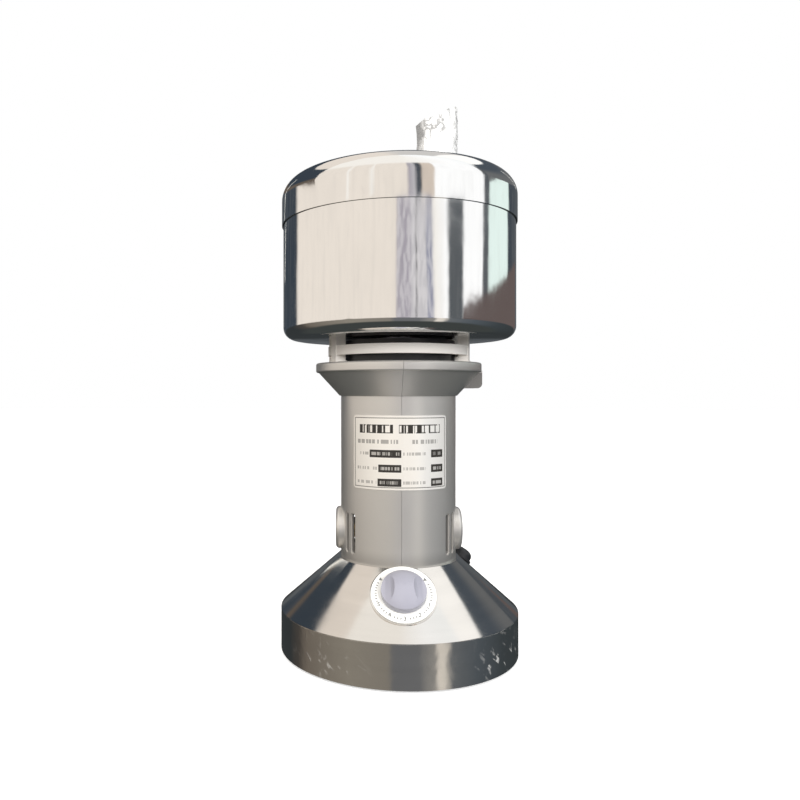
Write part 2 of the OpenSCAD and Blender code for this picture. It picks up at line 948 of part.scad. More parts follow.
// Two-winged blade: hub, tapered wings and tips bent up by an angle
module blade(sweep, width, t, tip, bend, z)
    translate([0, 0, z])
        difference() {
            union() {
                cylinder(r = blade_hub_r, h = t);
                for (a = [0, 180])
                    rotate([0, 0, a]) {
                        root = sweep - tip;
                        linear_extrude(t)
                            polygon([[0, -width / 2], [root, -width * 0.36], [root, width * 0.36], [0, width / 2]]);
                        translate([root - t * 0.4, 0, 0])
                            rotate([0, -bend, 0])
                                linear_extrude(t)
                                    polygon([[0, -width * 0.33], [tip * 0.94, -width * 0.33],
                                        [tip * 0.7, width * 0.33], [0, width * 0.33]]);
                    }
            }
            rod(journal_r + snug, -1, t + 1);
        }

module lower_blade() color("silver")
    blade(lower_blade_r, 16, blade_t, 14, 12, z_lower_blade);

module upper_blade() color("silver")
    rotate([0, 0, 45])
        blade(upper_blade_r, 14, blade_t, 14, 35, z_upper_blade);

module hammer_bar() color("gray")
    rotate([0, 0, 90])
        difference() {
            union() {
                rod(blade_hub_r + 1, z_hammer, z_hammer + hammer_t);
                intersection() {
                    translate([-hammer_r, -6, z_hammer])
                        cube([2 * hammer_r, 12, hammer_t]);
                    rod(hammer_r, z_hammer, z_hammer + hammer_t);
                }
            }
            rod(journal_r + snug, z_hammer - 1, z_hammer + hammer_t + 1);
        }

module blade_spacers() color("silver")
    for (z = [z_lower_blade + blade_t, z_hammer + hammer_t])
        tube(8, journal_r + snug, z, z + spacer_h);

module blade_washer() color("silver")
    tube(8.5, journal_r + snug, z_washer, z_washer + washer_t);

module blade_nut() color("silver")
    difference() {
        hex(13, z_nut, z_nut + nut_h);
        rod(journal_r + snug, z_nut - 1, z_nut + nut_h + 1);
    }

// ---------------------------------------------------------------- lid

module lid_seal() color("whitesmoke")
    tube(bowl_r - 0.1, seal_in_r + 0.2, z_seal, z_seal + seal_h);

module lid() color("gainsboro")
    difference() {
        union() {
            difference() {
                rotate_extrude()
                    round_block(lid_r, z_skirt, z_lid_top, 0, lid_corner);
                rotate_extrude()
                    round_block(lid_r - lid_t, z_skirt - 1, z_lid_top - lid_t, 0, lid_corner - lid_t);
            }
            tube(lid_r - lid_t / 2, seal_in_r, z_flange, z_flange + flange_t);
        }
        translate([lid_knob_at, 0, 0])
            rod(2.7, z_lid_top - 5, z_lid_top + 1);
    }

module lid_knob() color("silver")
    translate([lid_knob_at, 0, 0])
        difference() {
            rotate_extrude() {
                round_block(lid_knob_r, z_lid_top, z_lid_top + lid_knob_h, 0, 3);
                round_block(lid_knob_r + 0.6, z_lid_top, z_lid_top + 2.4, 0, 0.6);
            }
            rod(2.5 + snug, z_lid_top - 1, z_lid_top + 14);
        }

module knob_screw() color("silver")
    translate([lid_knob_at, 0, z_lid_top - lid_t])
        rotate([180, 0, 0])
            pan_screw(2.5, 4.2, 2.6, 13);

// Loose film sleeve left on the knob, its top drawn up to one side
module knob_film() color("white", 0.4)
    translate([lid_knob_at, 0, 0])
        difference() {
            film_body(lid_knob_r + film_gap + film_t, 0);
            film_body(lid_knob_r + film_gap, -film_t);
        }

module film_body(r, lower) {
    foot = z_lid_top + (lower < 0 ? 0 : 0.3);
    low_side = z_lid_top + lid_knob_h + 1.6 + lower;
    difference() {
        rod(r, foot, low_side + film_rise + 4);
        translate([-r - 1, -r - 5, low_side])
            rotate([0, -atan2(film_rise, 2 * r), 0])
                cube([4 * r, 2 * r + 10, 40]);
    }
}

base_shell();
base_plate();
rubber_feet();
plate_screws();
clamp_ring();
clamp_screws();
cable_gland();
gland_nut();
terminal_block();
dial_plate();
timer_body();
timer_nut();
timer_shaft();
timer_knob();
housing_left();
housing_right();
housing_screws();
label_plate();
brush_caps();
brush_holders();
carbon_brushes();
brush_springs();
lower_bracket();
lower_bearing();
stator_core();
stator_coils();
motor_bolts();
bolt_spacers();
upper_bracket();
upper_bearing();
motor_cap();
cage();
cage_screws();
bowl();
bowl_screws();
shaft_bush();
bush_nut();
motor_shaft();
armature_core();
armature_windings();
commutator();
fan();
lower_blade();
hammer_bar();
upper_blade();
blade_spacers();
blade_washer();
blade_nut();
lid_seal();
lid();
lid_knob();
knob_screw();
knob_film();
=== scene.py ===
# %% [markdown]
# # A small powder mill
# The packed model gives every part its shape and place. This lesson gives them light, finish and
# the few things that are too soft or too small to be machined: the wrinkled film on the lid's knob,
# the printing on the label and the numbers on the timer's dial.

# %% Load the frame
import json
import math
import bpy
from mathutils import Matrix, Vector
from mathutils import noise as wrinkle_noise


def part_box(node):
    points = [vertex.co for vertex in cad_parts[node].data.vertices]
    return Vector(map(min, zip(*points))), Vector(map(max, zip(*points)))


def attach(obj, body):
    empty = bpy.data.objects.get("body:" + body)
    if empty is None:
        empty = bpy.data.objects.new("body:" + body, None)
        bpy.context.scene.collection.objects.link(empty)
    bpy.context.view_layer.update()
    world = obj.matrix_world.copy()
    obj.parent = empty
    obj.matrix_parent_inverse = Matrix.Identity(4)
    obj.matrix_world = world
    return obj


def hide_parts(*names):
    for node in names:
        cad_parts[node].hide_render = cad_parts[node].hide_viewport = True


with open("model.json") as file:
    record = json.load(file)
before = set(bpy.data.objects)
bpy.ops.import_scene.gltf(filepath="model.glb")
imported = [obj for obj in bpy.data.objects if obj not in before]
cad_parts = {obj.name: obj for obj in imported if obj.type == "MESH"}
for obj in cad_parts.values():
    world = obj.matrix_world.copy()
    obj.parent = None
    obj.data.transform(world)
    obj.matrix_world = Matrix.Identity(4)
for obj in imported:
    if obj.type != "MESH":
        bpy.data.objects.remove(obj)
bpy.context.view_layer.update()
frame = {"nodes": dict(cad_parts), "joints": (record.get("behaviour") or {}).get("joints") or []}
print("parts loaded:", len(frame["nodes"]))

# %% [markdown]
# Lengths below are in metres. Places come from the boxes of the parts, so that a finish or a printed
# line stays where it belongs if a part changes its size.

# %% Places worked out from the parts
MM = 0.001
BAND_TALL = 25.5 * MM


def low(part):
    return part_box(part)[0]


def high(part):
    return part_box(part)[1]


COLUMN_R = -low("label_plate").y
BAND_TOP = low("base_shell").z + BAND_TALL
timer_joint = next(j for j in frame["joints"] if j["name"] == "timer_turn")
DIAL_AXIS = Vector(timer_joint["axis"]).normalized()
DIAL_FOOT = Vector(timer_joint["pos_m"])
DIAL_TILT = math.atan2(-DIAL_AXIS.y, DIAL_AXIS.z)
print("dial tilt in degrees:", round(math.degrees(DIAL_TILT), 1))

# %% [markdown]
# The camera stands level with the collar, close to the mill and a little to its left, and its lens is
# shifted so that the mill still fills the middle of the frame. A close, level camera is what makes
# the bowl's rim curve up and the base's rim curve down.

# %% Camera
camera_data = bpy.data.cameras.new("camera")
camera = bpy.data.objects.new("camera", camera_data)
bpy.context.scene.collection.objects.link(camera)
bpy.context.scene.camera = camera
CAMERA_TURN = math.radians(2.6)
LENS, SENSOR = 32.56, 36
SHIFT_X, SHIFT_Y = 0.099, -0.0105
side_step, distance, height = -49.7 * MM, 466.5 * MM, 163.8 * MM
camera.location = (
    side_step * math.cos(CAMERA_TURN) + distance * math.sin(CAMERA_TURN),
    side_step * math.sin(CAMERA_TURN) - distance * math.cos(CAMERA_TURN),
    height,
)
camera.rotation_euler = (math.radians(90), 0, CAMERA_TURN)
camera_data.sensor_width = SENSOR
camera_data.lens = LENS
camera_data.shift_x = SHIFT_X
camera_data.shift_y = SHIFT_Y
camera_data.clip_start = 0.01
print("camera at", [round(v, 3) for v in camera.location])

# %% [markdown]
# Shader maths reads better as arithmetic than as a web of nodes. A Signal is one socket; adding or
# multiplying signals adds the Math nodes. A Shop is one node tree and makes any other node.

# %% Signals
class Signal:
    """One output socket that Python arithmetic can be written with."""

    def __init__(self, tree, socket):
        self.tree, self.socket = tree, socket

    def math(self, operation, *others):
        maths = self.tree.nodes.new("ShaderNodeMath")
        maths.operation = operation
        for slot, value in zip(maths.inputs, (self, *others)):
            if isinstance(value, Signal):
                self.tree.links.new(value.socket, slot)
            else:
                slot.default_value = value
        return Signal(self.tree, maths.outputs[0])

    def flip(self, operation, other):
        """The same operation with the plain number first."""
        maths = self.tree.nodes.new("ShaderNodeMath")
        maths.operation = operation
        maths.inputs[0].default_value = other
        self.tree.links.new(self.socket, maths.inputs[1])
        return Signal(self.tree, maths.outputs[0])

    def __add__(self, other):
        return self.math("ADD", other)

    __radd__ = __add__

    def __mul__(self, other):
        return self.math("MULTIPLY", other)

    __rmul__ = __mul__

    def __sub__(self, other):
        return self.math("SUBTRACT", other)

    def __rsub__(self, other):
        return self.flip("SUBTRACT", other)

    def __truediv__(self, other):
        return self.math("DIVIDE", other)

    def __pow__(self, other):
        return self.math("POWER", other)

    def above(self, edge):
        return self.math("GREATER_THAN", edge)

    def below(self, edge):
        return self.math("LESS_THAN", edge)

    def size(self):
        return self.math("ABSOLUTE")

    def most(self, limit):
        return self.math("MINIMUM", limit)

    def between(self, start, end):
        """1 where the signal lies between the two numbers."""
        return self.above(start) * self.below(end)

    def ease(self, start, end):
        """Goes softly from 0 at the first number to 1 at the second."""
        ramp = self.tree.nodes.new("ShaderNodeMapRange")
        ramp.interpolation_type = "SMOOTHSTEP"
        ramp.inputs["From Min"].default_value = start
        ramp.inputs["From Max"].default_value = end
        self.tree.links.new(self.socket, ramp.inputs["Value"])
        return Signal(self.tree, ramp.outputs[0])


print("signal operators:", len([name for name in vars(Signal) if name.startswith("__")]))

# %% [markdown]
# A node tree could be wired by hand, socket by socket. Here one method makes any node, and short
# methods on top of it make the ones used most: places, noise and blends. A Finish is such a tree with
# a Principled shader, and wear puts it on parts of the model.

# %% Node trees and finishes
class Shop:
    """A node tree, with one method that makes any node and a few that make common ones."""

    def __init__(self, tree, coordinates):
        self.tree = tree
        self.place = self.node("TexCoord", output=coordinates)

    def node(self, kind, output=0, settings=None, stops=None, **sockets):
        """Any node: settings and ramp stops first, then values or signals for its sockets."""
        made = self.tree.nodes.new("ShaderNode" + kind)
        for key, value in (settings or {}).items():
            setattr(made, key, value)
        if stops:
            ramp = made.color_ramp
            ramp.elements.remove(ramp.elements[1])
            ramp.elements[0].position, ramp.elements[0].color = stops[0][0], (*stops[0][1], 1)
            for position, colour in stops[1:]:
                ramp.elements.new(position).color = (*colour, 1)
        for key, value in sockets.items():
            numbered = key[0] == "i" and key[1:].isdigit()
            slot = made.inputs[int(key[1:])] if numbered else made.inputs[key]
            if isinstance(value, Signal):
                self.tree.links.new(value.socket, slot)
            else:
                slot.default_value = value
        return Signal(self.tree, made.outputs[output])

    def axes(self):
        """X, Y and Z of the place."""
        return [self.node("SeparateXYZ", output=k, Vector=self.place) for k in range(3)]

    def point(self, x, y, z):
        return self.node("CombineXYZ", X=x, Y=y, Z=z)

    def noise(self, scale, detail=3.0, where=None):
        return self.node("TexNoise", Vector=where or self.place, Scale=scale, Detail=detail)

    def mix(self, amount, first, second):
        """Blends two colours, each a triple or a signal."""
        paints = [(*c, 1) if isinstance(c, tuple) else c for c in (first, second)]
        return self.node("Mix", output=2, settings={"data_type": "RGBA"},
                         i0=amount, i6=paints[0], i7=paints[1])


class Finish(Shop):
    """A material with one Principled shader, and the nodes that vary it over the surface."""

    def __init__(self, name, colour, roughness, metallic=0.0, **constants):
        self.material = bpy.data.materials.new(name)
        self.material.use_nodes = True
        super().__init__(self.material.node_tree, "Object")
        self.shader = self.tree.nodes["Principled BSDF"]
        self.shader.inputs["Base Color"].default_value = (*colour, 1)
        self.shader.inputs["Roughness"].default_value = roughness
        self.shader.inputs["Metallic"].default_value = metallic
        for socket, value in constants.items():
            self.shader.inputs[socket.replace("_", " ")].default_value = value

    def bump(self, height, strength, depth):
        return self.node("Bump", Height=height, Strength=strength, Distance=depth)

    def use(self, socket, signal):
        self.tree.links.new(signal.socket, self.shader.inputs[socket])


def wear(finish, *parts):
    """Gives a finish to parts of the packed model."""
    for part in parts:
        piece = frame["nodes"][part]
        if not piece.material_slots:
            piece.data.materials.append(finish.material)
        for slot in piece.material_slots:
            slot.material = finish.material
    print(finish.material.name, "on", len(parts), "parts")


# %% [markdown]
# Polished steel shows the room more than itself, so the room is drawn for its reflections: ivory walls
# in front and at the sides, a dark end behind the mill, a pale ceiling and a dark bench below the
# horizon. A picture of a real room could be wrapped round instead, but colour ramps need no file and
# each edge in them can be moved. First come the colours, by name.

# %% Colours of the room
IVORY = (0.90, 0.82, 0.735)
CREAM = (1.0, 0.96, 0.90)
WHITE = (1.12, 1.12, 1.12)
MINT = (0.86, 1.0, 0.95)
LILAC = (0.40, 0.37, 0.42)
NAVY = (0.042, 0.055, 0.072)
SLATE = (0.10, 0.11, 0.12)
BARK = (0.17, 0.145, 0.12)
SOOT = (0.035, 0.04, 0.042)
PEARL = (0.62, 0.60, 0.62)
VIOLET = (0.30, 0.31, 0.40)
BEIGE = (0.72, 0.62, 0.53)
GREY = (0.34, 0.33, 0.32)
EARTH = (0.135, 0.105, 0.10)
MIST = (0.86, 0.83, 0.84)
STONE = (0.16, 0.163, 0.17)


def compass(*stops):
    """Ramp stops from pairs of compass angle, -180 to 180 degrees from the front, and colour."""
    return [((angle + 180) / 360, colour) for angle, colour in stops]


world = bpy.data.worlds.new("room")
bpy.context.scene.world = world
world.use_nodes = True
room = Shop(world.node_tree, "Generated")
east, north, rise = room.axes()
bearing = (east.math("ARCTAN2", north * -1) / (2 * math.pi)) + 0.5
degrees_round = (bearing - 0.5) * 360.0
print("compass and height are ready")

# %% [markdown]
# The bowl mirrors the lower part of the walls and the lid the upper part, with different things in
# them: a window with dark bars low down, lamps and a door higher up. The two ramps meet along a line
# that curves with the lid's edge.

# %% Walls
SIDES = ((-180, SLATE), (-158, SLATE), (-155, NAVY), (-120, NAVY), (-116, IVORY))
FAR_SIDE = ((61, WHITE), (83, WHITE), (85, SLATE), (90, SLATE), (92, MINT), (123, MINT),
            (126, NAVY), (156, SLATE))
low_walls = room.node("ValToRGB", Fac=bearing, stops=compass(
    *SIDES, (-6, IVORY), (-4, LILAC), (7, LILAC), (8.6, PEARL), (12, PEARL), (12.8, SOOT),
    (14, PEARL), (23, PEARL), (24, VIOLET), (28.5, VIOLET), (30.5, CREAM), (43, WHITE),
    (45.5, SLATE), (59, SLATE), *FAR_SIDE))
high_walls = room.node("ValToRGB", Fac=bearing, stops=compass(
    *SIDES, (-53, IVORY), (-52, CREAM), (-50, CREAM), (-49, IVORY), (-30, IVORY), (-29, CREAM),
    (-27, CREAM), (-26, IVORY), (5, IVORY), (7, LILAC), (12, PEARL), (13, NAVY), (18, NAVY),
    (19, BEIGE), (31, BEIGE), (32, WHITE), *FAR_SIDE))
LID_LINE, LID_LINE_BULGE = 0.221, 0.0385
lid_edge = (degrees_round * (math.pi / 360)).math("COSINE") * LID_LINE_BULGE + LID_LINE
walls = room.mix((rise - lid_edge).ease(-0.002, 0.002), low_walls, high_walls)
print("walls drawn in two ramps")

# %% [markdown]
# No wall is one flat colour. Upright streaks and blots grey it a little, the window is mottled with
# things seen through it, and on the right a low brown hill of clutter stands in front of the wall.

# %% Streaks, mottling and the hill
streaks = room.noise(1.0, 4, room.point(bearing * 95, rise * 5, 0.0))
blots = room.noise(1.0, 3, room.point(bearing * 60, rise * 24, 4.0))
specks = room.noise(1.0, 3, room.point(bearing * 125, rise * 34, 9.0))
window = degrees_round.between(-5, 30) * (rise - lid_edge).below(0)
mottled = specks.ease(0.46, 0.54) * window * rise.ease(-0.02, 0.02)
greyed = (streaks.ease(0.42, 0.75) * 0.10) + blots.ease(0.5, 0.8) * 0.10
walls = room.mix(greyed, walls, GREY)
walls = room.mix(mottled * 0.5, walls, MIST)
HILL_START, HILL_END = 60, 150
HILL_FOOT, HILL_SLOPE, HILL_ROUGH = 0.066, 0.00112, 0.010
hill_top = (degrees_round - HILL_START) * HILL_SLOPE + HILL_FOOT + (blots - 0.5) * HILL_ROUGH
hill = (hill_top - rise).ease(-0.006, 0.006)
walls = room.mix(hill * degrees_round.between(HILL_START, HILL_END), walls, EARTH)
print("hill from", HILL_START, "to", HILL_END, "degrees")

# %% [markdown]
# The base's band looks down at the bench, with one bright stripe on it. The cone looks up: at a warm
# and a cool patch of ceiling, a white one on the right, and near its edges at the dark rear walls.

# %% Bench, ceiling and rear walls
bench = room.node("ValToRGB", Fac=bearing, stops=compass(
    (-180, SOOT), (-130, SOOT), (-112, (0.07, 0.062, 0.055)), (-100, BARK),
    (-50, (0.27, 0.245, 0.205)), (-12, (0.24, 0.22, 0.19)), (-7, (0.155, 0.158, 0.165)),
    (16, STONE), (24, (0.25, 0.245, 0.235)), (31, (0.28, 0.27, 0.255)), (34, (0.82, 0.76, 0.68)),
    (41, (0.72, 0.67, 0.60)), (46, (0.14, 0.15, 0.16)), (75, (0.085, 0.10, 0.115)),
    (110, (0.05, 0.06, 0.066)), (160, SOOT)))
bench = room.mix(rise.ease(-0.62, -0.42), (0.050, 0.056, 0.054), bench)
ceiling = room.node("ValToRGB", Fac=bearing, stops=compass(
    (-180, CREAM), (0, CREAM), (60, WHITE), (110, (1.0, 1.03, 1.03)), (180, CREAM)))
overhead = room.mix(east.ease(-0.10, 0.05), (0.86, 0.78, 0.70), (0.66, 0.64, 0.62))
overhead = room.mix(east.ease(0.30, 0.34), overhead, (1.15, 1.13, 1.10))
behind = north.above(0)
steep = rise.ease(0.70, 0.725) * behind
ceiling = room.mix(steep, ceiling, overhead)
rear = behind * rise.between(0.30, 0.74)
rear_left = room.mix((rise - 0.38).ease(-0.03, 0.03), (0.13, 0.105, 0.085), NAVY)
rear_right = room.mix((rise - 0.5).ease(-0.1, 0.1), (0.15, 0.155, 0.16), (0.075, 0.09, 0.11))
walls = room.mix(rear * east.below(0), walls, rear_left)
walls = room.mix(rear * east.above(0), walls, rear_right)
print("bench, ceiling and rear walls drawn")

# %% [markdown]
# The zones are stacked by height. What the camera itself sees behind the mill stays plain white, and
# the view transform is the plain one, so that white stays white.

# %% Background
roof = rise.ease(0.60, 0.74) * north.below(0) + steep
upper = room.mix(roof, walls, ceiling)
scene_light = room.mix(rise.ease(-0.10, -0.02), bench, upper)
seen = room.node("LightPath", output="Is Camera Ray")
back = world.node_tree.nodes["Background"]
shown = room.mix(seen, scene_light, (1.0, 1.0, 1.0))
world.node_tree.links.new(shown.socket, back.inputs["Color"])
bpy.context.scene.view_settings.view_transform = "Standard"
print("room nodes:", len(world.node_tree.nodes))

# %% [markdown]
# The floor is a plain white sheet. It takes the mill's soft shadow, but is hidden from reflections and
# from bounced light, because the real bench below the steel is dark.

# %% Floor
bpy.ops.object.select_all(action="DESELECT")
bpy.ops.mesh.primitive_plane_add(size=12, location=(0, 0, 0))
floor = bpy.context.object
floor.name = "floor"
floor_paint = Finish("floor", (0.93, 0.93, 0.93), 0.8)
floor_paint.shader.inputs["Emission Color"].default_value = (1, 1, 1, 1)
floor_paint.shader.inputs["Emission Strength"].default_value = 0.5
floor.data.materials.append(floor_paint.material)
floor.visible_glossy = False
floor.visible_diffuse = False
print("floor laid")

# %% [markdown]
# Paint, plastic and bare castings are shaped by lights, not by reflections. A broad soft box stands on
# the left, a smaller one on the right in front of the column, and a weak one behind. None of them
# shows in the polished steel. Two thin tubes far behind do nothing but draw a bright line in it.

# %% Soft boxes and tubes
LAMP_AIM = Vector((0, 0, 0.17))


def soft_box(name, location, size, power):
    """A square area light that looks at the middle of the mill."""
    data = bpy.data.lights.new(name, "AREA")
    data.shape = "SQUARE"
    data.size = size
    data.energy = power
    lamp = bpy.data.objects.new(name, data)
    bpy.context.scene.collection.objects.link(lamp)
    lamp.location = location
    aim = LAMP_AIM - Vector(location)
    lamp.rotation_euler = aim.to_track_quat("-Z", "Y").to_euler()
    lamp.visible_glossy = False


TUBE_AWAY = 2.0


def glow_strip(name, bearing_deg, height, length, width, lean):
    """A thin tube of light far behind the mill, which draws one bright line in the steel."""
    bpy.ops.object.select_all(action="DESELECT")
    bpy.ops.mesh.primitive_plane_add(size=1)
    strip = bpy.context.object
    strip.name = name
    a = math.radians(bearing_deg)
    strip.location = (TUBE_AWAY * math.sin(a), -TUBE_AWAY * math.cos(a), height)
    strip.rotation_euler = (math.radians(90), math.radians(lean), a)
    strip.scale = (width, length, 1)
    glow = Finish(name, (0, 0, 0), 1.0)
    glow.shader.inputs["Emission Color"].default_value = (0.9, 0.88, 0.82, 1)
    glow.shader.inputs["Emission Strength"].default_value = 1.4
    strip.data.materials.append(glow.material)
    strip.visible_camera = False
    strip.visible_diffuse = False
    strip.visible_shadow = False


soft_box("key_light", (-0.5, -1.2, 0.8), 0.8, 8.5)
soft_box("fill_light", (0.55, -1.1, 0.5), 0.5, 10)
soft_box("rear_light", (-0.5, 1.4, 0.7), 0.8, 6)
glow_strip("tube_left", -143, 1.0, 1.2, 0.035, 35)
glow_strip("tube_right", 141, 1.2, 0.8, 0.03, -30)
print("lights:", len(bpy.data.lights))

# %% [markdown]
# The parts arrive as loose triangles. A Weld modifier joins them, and an Edge Split keeps the real
# edges crisp, so that smooth shading rounds only what is round. The meshes themselves stay untouched.

# %% Smooth shading for the parts
EDGE_ANGLE = math.radians(28)
WELD_REACH = 0.002 * MM
for name, piece in frame["nodes"].items():
    piece.data.polygons.foreach_set("use_smooth", [True] * len(piece.data.polygons))
    weld = piece.modifiers.new("weld", "WELD")
    weld.merge_threshold = WELD_REACH
    split = piece.modifiers.new("edges", "EDGE_SPLIT")
    split.split_angle = EDGE_ANGLE
print("smoothed", len(frame["nodes"]), "parts")

# %% [markdown]
# The bowl, the lid and its knob are mirror-polished stainless. A mirror has almost no colour, so its
# life is in the surface: slow waves left by drawing the cup, fine upright wiping marks, and smears
# that are a little rougher than the rest.

# %% Polished steel
def polished_steel(name, tint, wave):
    """A mirror finish; wave is the height of its slow ripples, in metres."""
    steel = Finish(name, tint, 0.08, 1.0)
    x, y, z = steel.axes()
    upright = steel.point(x * 260, y * 260, z * 9)
    marks = steel.noise(1.0, 4, upright)
    smears = steel.noise(26, 5)
    steel.use("Roughness", 0.035 + marks * 0.05 + smears.ease(0.5, 0.8) * 0.07)
    slow = steel.noise(17, 1.5, steel.point(x, y, z * 0.35))
    quick = steel.noise(75, 2, steel.point(x, y, z * 0.7))
    steel.use("Normal", steel.bump(slow + quick * 0.08 + marks * 0.02, 0.4, wave))
    steel.use("Base Color", steel.mix(smears, tint, tuple(c * 0.93 for c in tint)))
    return steel


mirror_steel = polished_steel("polished_steel", (0.93, 0.93, 0.925), 0.0022)
wear(mirror_steel, "bowl", "lid")
knob_steel = polished_steel("polished_knob", (0.93, 0.93, 0.93), 0.0008)
wear(knob_steel, "lid_knob")

# %% [markdown]
# The base is spun on a lathe and then brushed, so its lines run round it in rings. Ring-shaped noise
# comes from measuring the distance from the axis and the height, and leaving the angle almost out.
# The upright band still wears its clear protective film, which wrinkles; its creases are painted whiter
# and less metallic, partly the real whitening of creased film and partly painted glints.

# %% Brushed steel of the base
CREASED_LEFT, CREASED_RIGHT = math.radians(-128), math.radians(-38)


def ring_brushed(name, tint, rough, filmed=False):
    """Steel brushed in rings; when it is filmed, its upright band is wrapped in creased clear film."""
    steel = Finish(name, tint, rough, 1.0)
    x, y, z = steel.axes()
    radius = (x * x + y * y) ** 0.5
    turn = y.math("ARCTAN2", x)
    rings = steel.noise(1.0, 3, steel.point(radius * 1900, z * 1900, turn * 1.3))
    broad = steel.noise(1.0, 2, steel.point(radius * 150, z * 150, turn * 0.8))
    cloud = steel.noise(34, 4)
    body = steel.mix(broad * 0.6 + cloud * 0.4, tint, tuple(c * 0.80 for c in tint))
    roughness = rough - 0.05 + rings * 0.07 + cloud.ease(0.45, 0.8) * 0.08
    height = rings * 0.10
    if filmed:
        wrapped = z.below(BAND_TOP - 0.4 * MM)
        slant = steel.noise(1.0, 2, steel.point(turn * 8 + z * 110, z * 60, radius * 20))
        crease = 1 - ((slant - 0.5).size() * 11).most(1.0)
        left = 1 - ((turn - CREASED_LEFT).size() / 0.42).most(1.0)
        right = 1 - ((turn - CREASED_RIGHT).size() / 0.40).most(1.0)
        patchy = steel.noise(1.0, 2, steel.point(turn * 14, z * 130, 3.0)).ease(0.50, 0.62)
        where = (left * 0.35 + right * 1.2).most(1.0) * patchy
        swell = steel.noise(1.0, 2, steel.point(turn * 6, z * 60, 8.0))
        height = height + wrapped * (crease * where * 6 + swell * 5)
        steel.use("Coat Weight", wrapped * 0.8)
        roughness = roughness + wrapped * where * 0.04
        low_down = 1 - ((z - 10 * MM) / (9 * MM)).size().most(1.0)
        # Painted glints: the creases, strongest about ten millimetres up, are painted whiter and less
        # metallic so that they shine like the film's glints.
        painted_glint = (crease.ease(0.35, 0.9) * where * (low_down * 1.4 + 0.25)).most(1.0) * wrapped
        steel.use("Metallic", 1 - painted_glint * 0.55)
        body = steel.mix(painted_glint * 0.7, body, (1.0, 1.0, 0.98))
    steel.use("Base Color", body)
    steel.use("Roughness", roughness)
    steel.use("Normal", steel.bump(height, 0.35, 0.00012))
    return steel


base_steel = ring_brushed("brushed_base", (0.88, 0.86, 0.83), 0.115, filmed=True)
base_steel.shader.inputs["Coat Roughness"].default_value = 0.06
wear(base_steel, "base_shell")
plate_steel = ring_brushed("plate_steel", (0.60, 0.60, 0.61), 0.38)
wear(plate_steel, "base_plate", "clamp_ring")

# %% [markdown]
# The two column halves are sprayed silver over a fine primer. Sprayed paint has an orange-peel skin,
# tiny flakes, and here it is darker towards the foot. The lug under the rim is painted darker as
# painted shade.

# %% Silver paint
paint = Finish("silver_paint", (0.78, 0.765, 0.735), 0.33, 0.8, Coat_Weight=0.2, Coat_Roughness=0.25)
x, y, z = paint.axes()
peel = paint.noise(900, 2)
flakes = paint.node("TexVoronoi", Vector=paint.place, Scale=3800.0)
patches = paint.noise(30, 4)
FOOT_DARKENING_TALL = 10 * MM
# Darker towards the foot of the column, over its lowest ten millimetres.
foot_darkening = (1 - (z - low("housing_left").z).ease(0, FOOT_DARKENING_TALL)) * 0.35
shade = paint.mix(patches, (0.83, 0.815, 0.785), (0.74, 0.725, 0.695))
shade = paint.mix(flakes * 0.25, shade, (0.90, 0.89, 0.87))
shade = paint.mix(foot_darkening, shade, (0.24, 0.23, 0.21))
LUG_HALF_WIDE, RIM_TALL = 9.3 * MM, 6.2 * MM
# Painted shade: the lug's face is painted dark because it lies in shadow under the rim.
painted_lug_shade = x.above(COLUMN_R + 3 * MM) * y.size().below(LUG_HALF_WIDE)
painted_lug_shade = painted_lug_shade * z.below(high("housing_right").z - RIM_TALL)
paint.use("Base Color", paint.mix(painted_lug_shade * 0.7, shade, (0.16, 0.158, 0.15)))
paint.use("Roughness", 0.33 + patches * 0.10 + peel * 0.04)
paint.use("Normal", paint.bump(peel + flakes * 0.15, 0.25, 0.00008))
wear(paint, "housing_left", "housing_right")

# %% [markdown]
# The cage and the two motor brackets are cast aluminium, shot-blasted and left bare. Blasting leaves
# a fine even pitting, and handling polishes it unevenly.

# %% Cast aluminium
cast = Finish("cast_aluminium", (0.95, 0.92, 0.88), 0.42, 0.08)
grain = cast.noise(1500, 3)
pits = cast.node("TexVoronoi", Vector=cast.place, Scale=900.0)
handled = cast.noise(60, 3)
cast.use("Base Color", cast.mix(handled * grain, (0.97, 0.94, 0.90), (0.90, 0.87, 0.82)))
cast.use("Roughness", 0.36 + handled * 0.16)
cast.use("Normal", cast.bump(grain + pits * 0.5, 0.4, 0.00012))
wear(cast, "cage", "lower_bracket", "upper_bracket")

# %% [markdown]
# Moulded plastic shows the mould: a fine spark-eroded grain on the knob, a smoother skin on the
# gland. One function makes each of them from its colour and its grain.

# %% Plastics and rubber
def moulded(name, tint, rough, grain_size, grain_depth, coat=0.0):
    """Plastic or rubber with the grain of its mould."""
    plastic = Finish(name, tint, rough, 0.0, Coat_Weight=coat)
    grain = plastic.noise(grain_size, 3)
    mottle = plastic.noise(45, 3)
    plastic.use("Base Color", plastic.mix(mottle, tint, tuple(c * 0.86 for c in tint)))
    plastic.use("Roughness", rough - 0.05 + grain * 0.10 + mottle * 0.06)
    plastic.use("Normal", plastic.bump(grain, 0.3, grain_depth))
    return plastic


